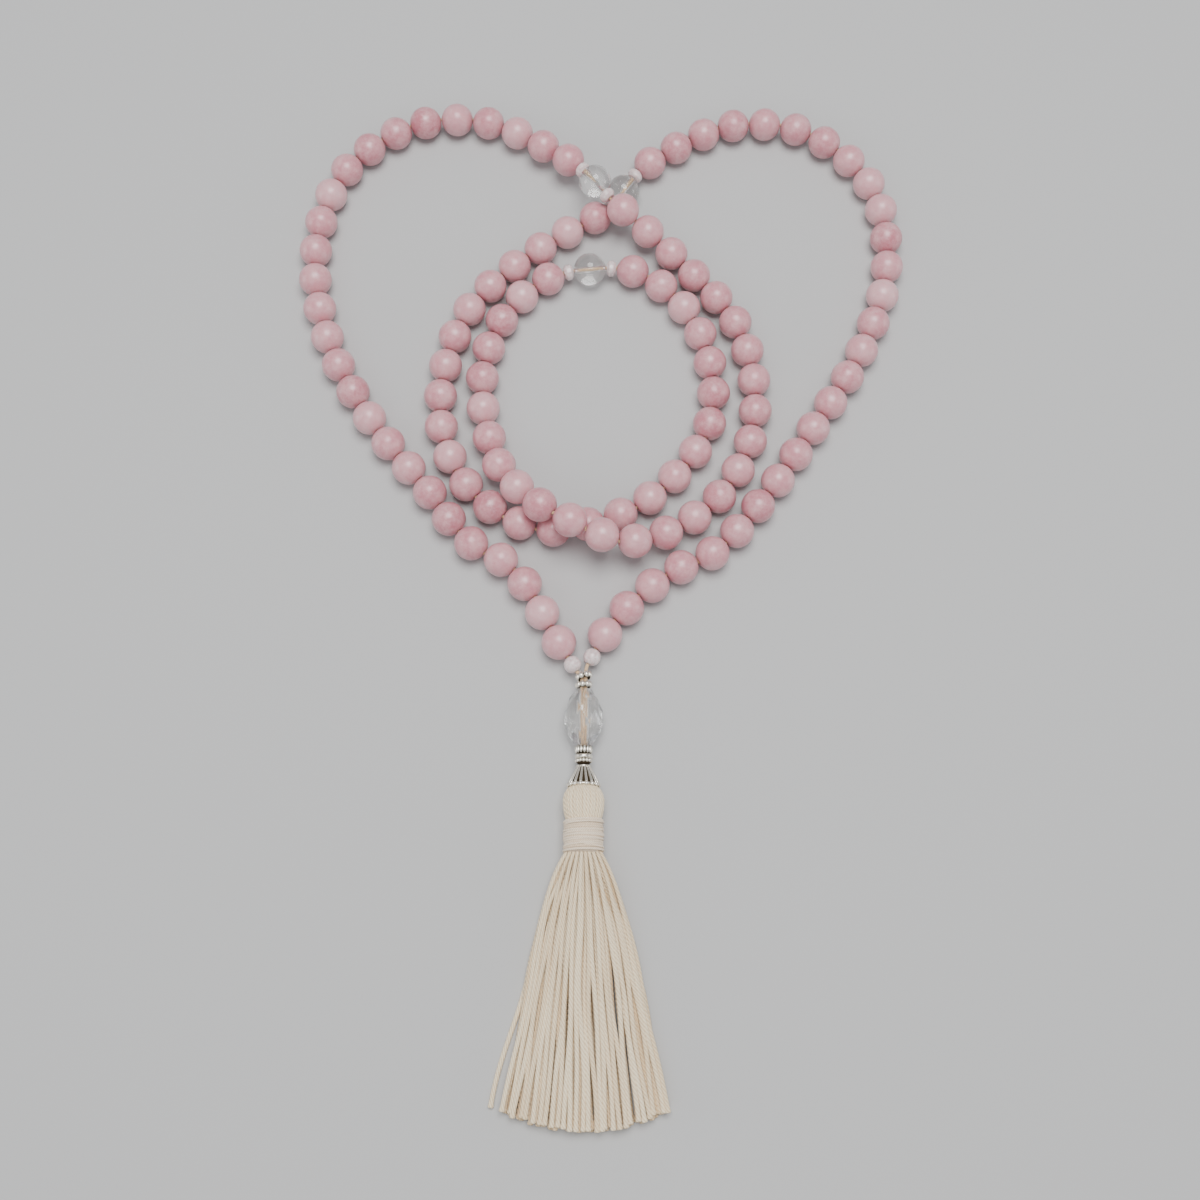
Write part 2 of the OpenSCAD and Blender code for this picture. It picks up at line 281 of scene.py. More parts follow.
def antiqueSilverFinish():
    finish = Finish("antique silver", {"Metallic": 1.0, "Roughness": 0.3})
    recess = finish.own("recess")
    wear = finish.cloud(1500.0, 4.0, 0.6)
    # dark brown in the hollows and at the bore: the silver's oxide, and painted shade where shade falls
    dark = finish.ramp(recess + (wear - 0.5) * 0.35, [(0.30, (0, 0, 0)), (0.75, (1, 1, 1))])
    finish.give("Base Color", finish.blend(dark, (0.93, 0.88, 0.77), (0.07, 0.05, 0.03)))
    finish.give("Roughness", 0.22 + recess * 0.4 + wear * 0.1)
    finish.bump(wear, 0.15, 0.0001)
    return finish.material


def plyFinish(name, light, dark, pitch, plies, depth):
    # thread whose own UV map runs round it in u and along it, in metres, in v
    finish = Finish(name, {"Roughness": 0.85, "Sheen Weight": 0.3, "Sheen Roughness": 0.5})
    uv = finish.add("ShaderNodeUVMap", {"uv_map": "UVMap"}, {}, "UV")
    around = finish.add("ShaderNodeSeparateXYZ", {}, {0: uv}, 0)
    length = Tap(finish, around.socket.node.outputs[1])
    ridge = ((around * plies + length / pitch) * math.pi).sine().size()
    fuzz = finish.cloud(2500.0, 3.0, 0.7)
    stain = finish.cloud(70.0, 2.0, 0.5)
    tone = finish.own("tone")
    # lighter on the ply ridges and darker in the grooves between them, painted shade, with speckle from
    # the fibre fuzz
    colour = finish.blend(ridge * 0.62 + fuzz * 0.62, dark, light)
    # darkened by stains, by each thread's own tone and, for threads under the skirt's top layer, by
    # painted shade carried in that tone
    shade = stain * 0.5 + tone * 0.8 - 0.4
    finish.give("Base Color", finish.blend(shade, colour, (0.76, 0.66, 0.54), "MULTIPLY"))
    finish.give("Roughness", 0.78 + fuzz * 0.2)
    finish.bump(ridge * 0.8 + fuzz * 0.4, 0.6, depth)
    return finish.material


def buildStage():
    stage = {"centre": (-0.75 * mm, -8.65 * mm, 4 * mm), "camera": (-3.86 * mm, -109.4 * mm, 326.4 * mm),
        "roll": 1.75, "lens": 44.07, "floorSize": 3.0, "floorTone": (0.49, 0.49, 0.485)}
    data = bpy.data.cameras.new("camera")
    data.lens = stage["lens"]
    data.sensor_width = 36
    data.clip_start = 0.01
    camera = bpy.data.objects.new("camera", data)
    bpy.context.scene.collection.objects.link(camera)
    away = Vector(stage["camera"]) - Vector(stage["centre"])
    turn = away.to_track_quat("Z", "Y").to_matrix().to_4x4()
    camera.matrix_world = (Matrix.Translation(stage["camera"]) @ turn
        @ Matrix.Rotation(math.radians(stage["roll"]), 4, "Z"))
    bpy.context.scene.camera = camera

    sheet = bmesh.new()
    bmesh.ops.create_grid(sheet, x_segments=2, y_segments=2, size=stage["floorSize"] / 2)
    mesh = bpy.data.meshes.new("floor")
    sheet.to_mesh(mesh)
    sheet.free()
    floor = bpy.data.objects.new("floor", mesh)
    bpy.context.scene.collection.objects.link(floor)
    finish = Finish("pale floor", {"Base Color": (*stage["floorTone"], 1), "Roughness": 0.9})
    mesh.materials.append(finish.material)


def addLight(name, place, target, size, power):
    data = bpy.data.lights.new(name, "AREA")
    data.shape = "DISK"
    data.size = size
    data.energy = power
    light = bpy.data.objects.new(name, data)
    light.location = place
    light.rotation_euler = (Vector(place) - Vector(target)).to_track_quat("Z", "Y").to_euler()
    bpy.context.scene.collection.objects.link(light)


def buildLights():
    aim = (0, 0, 0)
    addLight("overhead softbox", (0.04, 0.11, 0.85), aim, 0.56, 8.5)
    addLight("front fill", (-0.4, -0.9, 0.9), aim, 0.9, 3.0)
    addLight("left edge", (-1.2, -0.1, 0.28), aim, 0.5, 2.0)
    addLight("right edge", (1.2, -0.1, 0.28), aim, 0.5, 2.0)
    world = bpy.context.scene.world or bpy.data.worlds.new("world")
    bpy.context.scene.world = world
    world.use_nodes = True
    world.node_tree.nodes["Background"].inputs["Color"].default_value = (0.92, 0.94, 1, 1)
    world.node_tree.nodes["Background"].inputs["Strength"].default_value = 0.45


buildStage()
buildLights()
print("stage ready")


strand = {
    "beadRadius": 4 * mm, "boreRadius": 0.5 * mm, "gap": 0.08 * mm, "spacerHalf": 1.25 * mm,
    "roundHalf": 2 * mm, "stringRadius": 0.4 * mm, "stringSides": 8,
    "perRun": 27, "pieces": 119, "steps": 12,
    "route": [
        (-7, -24, 4), (-10, -19, 4), (-23.5, 1, 4), (-30.5, 5, 4), (-40.5, 17.5, 4), (-55.5, 36.5, 4),
        (-67, 58.5, 4), (-71, 82.5, 4), (-64.5, 105, 4), (-45, 119, 4), (-29, 119, 4),
        (-15, 111.5, 5.2), (-5, 103, 7.6), (-2, 99, 9), (1, 94.5, 9.8), (11, 87, 5.6),
        (22.5, 75.5, 4), (32, 63.5, 4), (36.5, 47, 4), (35, 30.5, 4), (27.5, 17, 4),
        (15, 7.5, 5.4), (7.5, 4.5, 7.6), (0, 5, 10), (-7.5, 8, 11.8), (-14.5, 12, 11),
        (-20, 17.5, 8.4), (-24.5, 24, 6.2), (-27, 31.5, 4.8), (-29, 47.5, 4), (-24.5, 63, 4),
        (-13, 74.5, 4), (-3, 77, 4), (7.5, 76.5, 4), (20, 66.5, 4), (26, 51.5, 4), (25.5, 35.5, 4),
        (17, 22, 4), (4.5, 12.5, 4), (-3.5, 10, 4), (-11.5, 8.5, 4), (-19, 10, 4), (-32, 19.5, 4),
        (-38.5, 34.5, 4), (-38, 50.5, 4), (-32.5, 66, 4), (-21.5, 78, 4), (-8.5, 87.5, 4),
        (2.5, 95, 4), (5.5, 99.5, 4), (8.5, 104, 4), (19, 112, 4), (33.5, 118.5, 4),
        (49.5, 117.5, 4), (67.5, 101.5, 4), (70.5, 78, 4), (63, 55, 4), (50, 34, 4), (36, 14, 4),
        (25, 2.5, 4), (17.5, -1, 4), (0, -17.5, 4), (-3, -23, 4)],
}


def smoothRoute():
    # a smooth line through the route's points, never lower than a bead that lies on the floor
    points = [Vector(p) * mm for p in strand["route"]]
    spans = [(b - a).length for a, b in zip(points, points[1:])]
    slopes = [(points[1] - points[0]) / spans[0]]
    for i in range(1, len(spans)):
        before, after = spans[i - 1], spans[i]
        backward = (points[i] - points[i - 1]) / before
        forward = (points[i + 1] - points[i]) / after
        slopes.append((after * backward + before * forward) / (before + after))
    slopes.append((points[-1] - points[-2]) / spans[-1])
    line = []
    for i, span in enumerate(spans):
        for k in range(strand["steps"]):
            t = k / strand["steps"]
            p = ((2 * t ** 3 - 3 * t * t + 1) * points[i] + (t ** 3 - 2 * t * t + t) * span * slopes[i]
                + (3 * t * t - 2 * t ** 3) * points[i + 1] + (t ** 3 - t * t) * span * slopes[i + 1])
            p.z = max(p.z, strand["beadRadius"])
            line.append(p)
    line.append(points[-1])
    return line


def walkRoute(line):
    # the centre of every piece, each a piece's length past the one before it
    lengths = [0.0]
    for a, b in zip(line, line[1:]):
        lengths.append(lengths[-1] + (b - a).length)

    def at(s):
        s = min(max(s, 0.0), lengths[-1])
        low = max(i for i in range(len(lengths) - 1) if lengths[i] <= s)
        return line[low].lerp(line[low + 1], (s - lengths[low]) / (lengths[low + 1] - lengths[low]))

    s = 0.0
    centres = [at(s)]
    for i in range(strand["pieces"] - 1):
        want = halfLength(i) + halfLength(i + 1) + strand["gap"]
        guess = s + want
        for _ in range(2):
            guess += want - (at(guess) - centres[-1]).length
        s = guess
        centres.append(at(s))
    return centres


def kindOf(i):
    # a small round at each end, and runs of beads with spacer, marker, spacer between one and the next
    if i in (0, strand["pieces"] - 1):
        return "round"
    inRun = (i - 1) % (strand["perRun"] + 3)
    if inRun < strand["perRun"]:
        return "bead"
    return "marker" if inRun == strand["perRun"] + 1 else "spacer"


def halfLength(i):
    halves = {"round": strand["roundHalf"], "spacer": strand["spacerHalf"]}
    return halves.get(kindOf(i), strand["beadRadius"])


centres = walkRoute(smoothRoute())
headings = [(centres[min(i + 1, len(centres) - 1)] - centres[max(i - 1, 0)]).normalized()
    for i in range(len(centres))]
print("string walked:", len(centres), "places")


roseQuartz = roseQuartzFinish()
clearQuartz = clearQuartzFinish()
milkyQuartz = milkyQuartzFinish()
antiqueSilver = antiqueSilverFinish()
cottonPly = plyFinish("cotton ply", (1.0, 0.865, 0.625), (0.72, 0.52, 0.29), 1.1 * mm, 4, 0.0003)
tanPly = plyFinish("tan wrapping", (1.0, 0.86, 0.67), (0.56, 0.40, 0.26), 0.5 * mm, 3, 0.00012)
stringPly = plyFinish("string", (0.80, 0.57, 0.35), (0.52, 0.32, 0.16), 0.5 * mm, 3, 0.0001)


def atPlace(i):
    return Matrix.Translation(centres[i]) @ headings[i].to_track_quat("Z", "Y").to_matrix().to_4x4()


def drilledBall(radius, look):
    # a ball with a straight hole, bevelled at each mouth
    bore = strand["boreRadius"]
    start = math.asin((bore + look["lip"]) / radius)
    arc = [mix(start, math.pi - start, k / look["arcs"]) for k in range(look["arcs"] + 1)]
    profile = [(radius * math.sin(a), -radius * math.cos(a)) for a in arc]
    bevelEnd = profile[-1][1] - look["lip"] * 0.8
    profile += [(bore, bevelEnd), (bore, 0), (bore, -bevelEnd)]
    return spinShape(profile, look["steps"])


beadLook = {"steps": 40, "arcs": 22, "lip": 0.12 * mm}
roundLook = {"steps": 32, "arcs": 16, "lip": 0.1 * mm}
beadTemplate = asTemplate(drilledBall(strand["beadRadius"], beadLook), "bead")
roundTemplate = asTemplate(drilledBall(strand["roundHalf"], roundLook), "round")


def rondelleShape():
    # a flat-sided rondelle, its edges softened
    look = {"sides": 12, "half": 1.15 * mm, "radius": 1.95 * mm, "flat": 1.25 * mm, "girdle": 0.5 * mm,
        "bevel": 0.12 * mm}
    bore = strand["boreRadius"]
    profile = [(bore, -look["half"]), (look["flat"], -look["half"]), (look["radius"], -look["girdle"]),
        (look["radius"], look["girdle"]), (look["flat"], look["half"]), (bore, look["half"])]
    shape = spinShape(profile, look["sides"])
    rim = [e for e in shape.edges if all(v.co.xy.length > bore * 1.5 for v in e.verts)]
    bmesh.ops.bevel(shape, geom=rim, offset=look["bevel"], offset_type="OFFSET", segments=2, profile=0.5,
        affect="EDGES", material=-1)
    return shape


rondelleTemplate = asTemplate(rondelleShape(), "rondelle")

beadRuns = [  # node, body, first place, beads
    ("left_lobe_beads_lower", "left_lobe", 1, 9), ("left_lobe_beads_middle", "left_lobe", 10, 9),
    ("left_lobe_beads_upper", "left_lobe", 19, 9), ("outer_coil_beads_right_upper", "outer_coil", 31, 7),
    ("outer_coil_beads_right_lower", "outer_coil", 38, 7), ("outer_coil_beads_over", "outer_coil", 45, 7),
    ("inner_coil_beads_left", "inner_coil", 52, 6), ("inner_coil_beads_right", "inner_coil", 61, 7),
    ("outer_coil_beads_under", "outer_coil", 68, 7), ("outer_coil_beads_left_lower", "outer_coil", 75, 7),
    ("outer_coil_beads_left_upper", "outer_coil", 82, 6), ("right_lobe_beads_upper", "right_lobe", 91, 9),
    ("right_lobe_beads_middle", "right_lobe", 100, 9), ("right_lobe_beads_lower", "right_lobe", 109, 9),
]
for node, body, first, count in beadRuns:
    shape = bmesh.new()
    for i in range(first, first + count):
        spun = Matrix.Rotation(dice.uniform(0, 2 * math.pi), 4, "Z")
        addCopy(shape, beadTemplate, atPlace(i) @ spun, min(1, max(0, dice.gauss(0.5, 0.22))))
    finishShape(shape, "rose_" + node, roseQuartz, body, [node])

singles = [  # node, place, template, material, slot
    ("marker_left", 29, beadTemplate, clearQuartz, "clear_quartz"),
    ("marker_inner", 59, beadTemplate, clearQuartz, "clear_quartz"),
    ("marker_right", 89, beadTemplate, clearQuartz, "clear_quartz"),
    ("spacer_left_outer", 28, rondelleTemplate, milkyQuartz, "milky_quartz"),
    ("spacer_left_inner", 30, rondelleTemplate, milkyQuartz, "milky_quartz"),
    ("spacer_inner_left", 58, rondelleTemplate, milkyQuartz, "milky_quartz"),
    ("spacer_inner_right", 60, rondelleTemplate, milkyQuartz, "milky_quartz"),
    ("spacer_right_inner", 88, rondelleTemplate, milkyQuartz, "milky_quartz"),
    ("spacer_right_outer", 90, rondelleTemplate, milkyQuartz, "milky_quartz"),
    ("small_round_left", 0, roundTemplate, milkyQuartz, "milky_quartz"),
    ("small_round_right", 118, roundTemplate, milkyQuartz, "milky_quartz"),
]
for node, i, template, material, slot in singles:
    shape = bmesh.new()
    addCopy(shape, template, atPlace(i), dice.random())
    finishShape(shape, "fine_" + node, material, node, [node], template is not rondelleTemplate)
print("beads strung")


def mouth(i, side):
    return centres[i] + headings[i] * halfLength(i) * side


def stringThrough(first, last):
    shape = bmesh.new()
    points = [mouth(i, side) for i in range(first, last + 1) for side in (-1, 1)]
    sweep(shape, points, [strand["stringRadius"]] * len(points), strand["stringSides"])
    return shape


stringRuns = [  # node, body, first place, last place
    ("left_lobe_thread", "left_lobe", 1, 27), ("right_lobe_thread", "right_lobe", 91, 117),
    ("outer_coil_thread_over", "outer_coil", 28, 51), ("outer_coil_thread_under", "outer_coil", 68, 90),
    ("inner_coil_thread", "inner_coil", 52, 67),
]
for node, body, first, last in stringRuns:
    finishShape(stringThrough(first, last), "string_" + node, stringPly, body, [node])
print("string made")

pendant = {"x": centreOf("clear_oval").x, "z": centreOf("clear_oval").z}


def hang(shape, y):
    # a shape made along Z hangs from a start at y, towards the tassel
    place = Matrix.Translation((pendant["x"], y, pendant["z"])) @ Matrix.Rotation(math.radians(90), 4, "X")
    bmesh.ops.transform(shape, matrix=place, verts=shape.verts)
    return shape


def topOf(node):
    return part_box(node)[1][1]


def footOf(node):
    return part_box(node)[0][1]


def lengthOf(node):
    return topOf(node) - footOf(node)


def paintRecess(shape, rule):
    # stores how dark each point is painted in the hollows, oxide and painted shade, which the silver
    # finish reads
    layer = shape.verts.layers.float.get("recess") or shape.verts.layers.float.new("recess")
    for v in shape.verts:
        v[layer] = min(1.0, max(0.0, rule(v.co)))


def addBall(shape, place, radius, stretch=1.0):
    made = bmesh.ops.create_icosphere(shape, subdivisions=2, radius=radius)
    bmesh.ops.scale(shape, vec=(1, 1, stretch), verts=made["verts"])
    bmesh.ops.translate(shape, vec=place, verts=made["verts"])


def grainRing(shape, count, ringRadius, grain, height, stretch=1.0):
    for k in range(count):
        a = 2 * math.pi * (k + 0.25) / count
        addBall(shape, (ringRadius * math.cos(a), ringRadius * math.sin(a), height), grain, stretch)


def addSpun(shape, profile, steps):
    template = asTemplate(spinShape(profile, steps), "spun")
    shape.from_mesh(template)
    bpy.data.meshes.remove(template)


def roundedRing(inner, outer, low, high):
    # outline of a ring with a half-round rim
    arcs = 6
    middle = (low + high) / 2
    reach = (high - low) / 2
    rim = [(outer - reach + reach * math.sin(a), middle - reach * math.cos(a))
        for a in [math.pi * k / arcs for k in range(arcs + 1)]]
    return [(inner, low)] + rim + [(inner, high)]


silver = {"radius": 2 * mm, "bore": 0.92 * mm}


def silverRecess(deepest, sharpness):
    # darkest at the bore, bright where grains stand proud: oxide and painted shade in the hollows
    span = silver["radius"] - silver["bore"]
    return lambda p: deepest - (p.xy.length - silver["bore"]) / span * sharpness


def daisyShape(length, grains):
    # large grains round a narrower hub
    look = {"grain": 0.62 * mm, "inset": 0.3 * mm, "steps": 32}
    shape = bmesh.new()
    reach = silver["radius"] - look["grain"]
    hub = roundedRing(silver["bore"], reach, look["inset"], length - look["inset"])
    addSpun(shape, hub, look["steps"])
    grainRing(shape, grains, reach, look["grain"], length / 2, length / 2 / look["grain"])
    paintRecess(shape, silverRecess(1.5, 1.9))
    return shape


def ribbedShape(length, ribs):
    # thin grains stretched along the bead, so that they look like ribs
    look = {"rib": 0.34 * mm, "inset": 0.05 * mm, "ribInset": 0.04 * mm, "steps": 36}
    shape = bmesh.new()
    reach = silver["radius"] - look["rib"]
    hub = roundedRing(silver["bore"], reach, look["inset"], length - look["inset"])
    addSpun(shape, hub, look["steps"])
    stretch = (length / 2 - look["ribInset"]) / look["rib"]
    grainRing(shape, ribs, reach, look["rib"], length / 2, stretch)
    paintRecess(shape, silverRecess(2.5, 2.8))
    return shape


def doubleShape(length, grains):
    # a polished ring and, on the tassel's side of it, a ring of grains
    look = {"grain": 0.44 * mm, "inset": 0.02 * mm, "ringShare": 0.44, "steps": 40}
    shape = bmesh.new()
    ringEnd = length * look["ringShare"]
    reach = silver["radius"] - look["grain"]
    addSpun(shape, roundedRing(silver["bore"], silver["radius"], look["inset"], ringEnd), look["steps"])
    addSpun(shape, roundedRing(silver["bore"], reach, ringEnd, length - look["inset"]), look["steps"])
    grainRing(shape, grains, reach, look["grain"], ringEnd + look["grain"])
    polished = silverRecess(0.9, 1.3)
    beaded = silverRecess(2.0, 2.2)
    paintRecess(shape, lambda p: polished(p) if p.z < ringEnd else beaded(p))
    return shape


def leaning(shape, length, tilt, twist, rise):
    # a loose daisy lies askew on its string: it tilts about its middle and rides up a little
    turn = Matrix.Rotation(math.radians(tilt), 3, "X") @ Matrix.Rotation(math.radians(twist), 3, "Y")
    bmesh.ops.rotate(shape, cent=(0, 0, length / 2), matrix=turn, verts=shape.verts)
    bmesh.ops.translate(shape, vec=(0, 0, -rise), verts=shape.verts)
    return shape


daisyLength = lengthOf("upper_daisy")
silverShapes = {
    "upper_daisy": leaning(daisyShape(daisyLength * 1.04, 7), daisyLength, -5, 13, 0.55 * mm),
    "lower_daisy": leaning(daisyShape(daisyLength * 0.97, 8), daisyLength, -1, 3, 0.1 * mm),
    "ribbed_daisy": ribbedShape(lengthOf("ribbed_daisy"), 14),
    "double_bead": doubleShape(lengthOf("double_bead"), 13),
}
for node, shape in silverShapes.items():
    finishShape(hang(shape, topOf(node)), "silver_" + node, antiqueSilver, node, [node])


def ovalShape(length):
    # a long drop cut in facets: eight-sided rings, each turned half a side from the last
    look = {"sides": 8, "radius": 4.5 * mm, "bevel": 0.1 * mm, "turn": 0.2,
        "outline": [(0, 0.38), (0.17, 0.74), (0.40, 0.97), (0.64, 0.99), (0.85, 0.74), (1, 0.44)]}
    shape = bmesh.new()
    for k, (along, wide) in enumerate(look["outline"]):
        reach = look["radius"] * wide
        for j in range(look["sides"]):
            a = 2 * math.pi * (j + 0.5 * (k % 2) + look["turn"]) / look["sides"]
            shape.verts.new((reach * math.cos(a), reach * math.sin(a), along * length))
    hull = bmesh.ops.convex_hull(shape, input=shape.verts)
    bmesh.ops.delete(shape, geom=hull["geom_interior"] + hull["geom_unused"], context="VERTS")
    bmesh.ops.dissolve_limit(shape, angle_limit=math.radians(1), verts=shape.verts, edges=shape.edges)
    bmesh.ops.bevel(shape, geom=shape.edges, offset=look["bevel"], offset_type="OFFSET", segments=2,
        profile=0.5, affect="EDGES", material=-1)
    return shape


def drill(piece, radius, start, end):
    # cuts a straight hole along Y right through a piece
    cutter = bmesh.new()
    bmesh.ops.create_cone(cutter, cap_ends=True, segments=32, radius1=radius, radius2=radius,
        depth=end - start)
    turn = Matrix.Rotation(math.radians(90), 3, "X")
    bmesh.ops.rotate(cutter, cent=(0, 0, 0), matrix=turn, verts=cutter.verts)
    bmesh.ops.translate(cutter, vec=(pendant["x"], (start + end) / 2, pendant["z"]), verts=cutter.verts)
    tool = bpy.data.objects.new("cutter", asTemplate(cutter, "cutter"))
    bpy.context.scene.collection.objects.link(tool)
    hole = piece.modifiers.new("hole", "BOOLEAN")
    hole.object = tool
    hole.solver = "EXACT"
    bpy.context.view_layer.update()
    cut = bpy.data.meshes.new_from_object(piece.evaluated_get(bpy.context.evaluated_depsgraph_get()))
    piece.modifiers.clear()
    piece.data = cut
    bpy.data.objects.remove(tool)


oval = finishShape(hang(ovalShape(lengthOf("clear_oval")), topOf("clear_oval")), "faceted_oval",
    clearQuartz, "clear_oval", ["clear_oval"], False)
drill(oval, silver["bore"], footOf("clear_oval") - mm, topOf("clear_oval") + mm)


def capShape(length):
    # ribs that flare over a cone painted dark with oxide and painted shade, a ball at each rib's foot and
    # a thin band behind the balls
    look = {"ribs": 16, "rings": 8, "top": 1.4 * mm, "rim": 3.35 * mm, "wall": 0.4 * mm,
        "rib": 0.3 * mm, "ribStart": 0.25 * mm, "ball": 0.5 * mm, "ballOut": 0.02 * mm,
        "sunk": 0.1 * mm, "collarOut": 0.25 * mm, "collarEnd": 0.5 * mm, "bandIn": 0.3 * mm,
        "bandOut": 0.28 * mm, "bandAbove": 0.3 * mm, "bandBelow": 0.2 * mm, "shadow": 0.25 * mm}

    def flare(t):
        return mix(look["top"], look["rim"], ease(t) * 0.3 + t * 0.7)

    shape = bmesh.new()
    foot = length - look["ball"]
    shares = [k / look["rings"] for k in range(look["rings"] + 1)]
    outer = [(flare(t) - look["sunk"], foot * t) for t in shares]
    inner = [(max(silver["bore"], flare(t) - look["wall"]), foot * t) for t in reversed(shares)]
    collar = roundedRing(silver["bore"], look["top"] + look["collarOut"], 0, look["collarEnd"])
    band = roundedRing(look["rim"] - look["bandIn"], look["rim"] + look["bandOut"],
        foot - look["bandAbove"], foot + look["bandBelow"])
    addSpun(shape, outer + inner, 48)
    addSpun(shape, collar, 36)
    addSpun(shape, band, 48)
    for k in range(look["ribs"]):
        a = 2 * math.pi * (k + 0.5) / look["ribs"]
        out = Vector((math.cos(a), math.sin(a), 0))
        points = [out * flare(t) + Vector((0, 0, mix(look["ribStart"], foot, t))) for t in shares]
        sweep(shape, points, [look["rib"] * mix(0.8, 1.2, t) for t in shares], 8)
        addBall(shape, out * (look["rim"] + look["ballOut"]) + Vector((0, 0, foot)), look["ball"])
    # darker where the surface sinks below the ribs: oxide and painted shade
    paintRecess(shape, lambda p: 0.5 - (p.xy.length - flare(p.z / foot)) / look["shadow"])
    return shape


finishShape(hang(capShape(lengthOf("tassel_cap")), topOf("tassel_cap")), "silver_cap",
    antiqueSilver, "tassel", ["tassel_cap"])


def alongPendant(y, side=0.0):
    return Vector((pendant["x"] + side, y, pendant["z"]))


def bend(start, startWay, end, endWay, steps, pull):
    # points of a smooth bend between two places and directions
    handles = [start, start + startWay * pull, end - endWay * pull, end]
    line = []
    for k in range(steps + 1):
        t = k / steps
        weights = [(1 - t) ** 3, 3 * t * (1 - t) ** 2, 3 * t * t * (1 - t), t ** 3]
        line.append(sum((h * w for h, w in zip(handles, weights)), Vector()))
    return line


def straight(start, end, steps):
    return [start.lerp(end, k / steps) for k in range(steps + 1)]


doubled = {"offset": 0.42 * mm, "steps": 24, "sides": 10, "tone": 0.3, "slip": 0.2 * mm,
    "bendSteps": 12, "pull": 0.7 * mm}


def doubledString(name, start, end, nodes, tops=None):
    # the string's two ends side by side, across the joint between two bodies; tops gives, for each
    # side, the small round that its end comes out of and the way it leaves
    shape = bmesh.new()
    for side in (-1, 1):
        offset = side * doubled["offset"]
        points = straight(alongPendant(start, offset), alongPendant(end, offset), doubled["steps"])
        if tops:
            i, way = tops[side]
            turn = bend(mouth(i, way), headings[i] * way, points[0], Vector((0, -1, 0)),
                doubled["bendSteps"], doubled["pull"])
            points = [mouth(i, -way)] + turn[:-1] + points
        sweep(shape, points, [strand["stringRadius"]] * len(points), doubled["sides"], doubled["tone"],
            side * doubled["slip"])
    piece = finishShape(shape, name, stringPly, None, nodes)
    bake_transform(piece)


lastPlace = strand["pieces"] - 1
doubledString("string_knot_ends", topOf("upper_daisy") + 0.1 * mm,
    footOf("upper_daisy") + 0.1 * mm, ["knot_thread", "daisy_thread"],
    {-1: (0, -1), 1: (lastPlace, 1)})
doubledString("string_pendant", footOf("upper_daisy") + 0.4 * mm,
    footOf("double_bead") + 0.5 * mm, ["pendant_thread"])
doubledString("string_tassel", footOf("double_bead") + 0.4 * mm,
    centreOf("tassel_knot").y, ["tassel_thread"])
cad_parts["tassel_knot"].data.materials.clear()
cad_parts["tassel_knot"].data.materials.append(stringPly)
print("pendant made")


tassel = {"capRim": footOf("tassel_cap"), "wrapTop": topOf("neck_wrap"), "wrapEnd": footOf("neck_wrap"),
    "skirtEnd": footOf("tassel_skirt")}


def roundPoint(angle, radius, y):
    return Vector((pendant["x"] + radius * math.cos(angle), y, pendant["z"] + radius * math.sin(angle)))


def onOutline(outline, y):
    # the radius at y, read along an outline of (y, radius) points
    for (ya, ra), (yb, rb) in zip(outline, outline[1:]):
        if y <= yb:
            return mix(ra, rb, (y - ya) / (yb - ya))
    return outline[-1][1]


def headThreads():
    # folded threads that come out of the cap, go round the head and in under the wrap
    look = {"count": 33, "thread": 0.45 * mm, "steps": 26, "sides": 10, "above": 1.4 * mm,
        "spread": 0.1, "sway": 0.03}
    outline = [(0.0, 2.0), (0.9, 2.5), (1.5, 2.9), (2.2, 3.5), (3.0, 3.95), (4.2, 4.17), (5.6, 4.11),
        (7.0, 3.91), (8.2, 3.55), (9.2, 3.45)]
    start = tassel["capRim"] + look["above"]
    shape = bmesh.new()
    addSpun(shape, [(r * mm - look["thread"] * 0.5, y * mm) for y, r in outline], 40)
    hang(shape, start)
    for k in range(look["count"]):
        angle = 2 * math.pi * (k + dice.uniform(-look["spread"], look["spread"])) / look["count"]
        sway = dice.uniform(-look["sway"], look["sway"])
        points = []
        for s in range(look["steps"] + 1):
            y = outline[-1][0] * s / look["steps"]
            turned = angle + sway * math.sin(math.pi * s / look["steps"])
            points.append(roundPoint(turned, onOutline(outline, y) * mm, start - y * mm))
        sweep(shape, points, [look["thread"]] * len(points), look["sides"], dice.uniform(0, 0.6),
            dice.uniform(0, mm))
    return shape


finishShape(headThreads(), "head_threads", cottonPly, "tassel", ["tassel_head"])


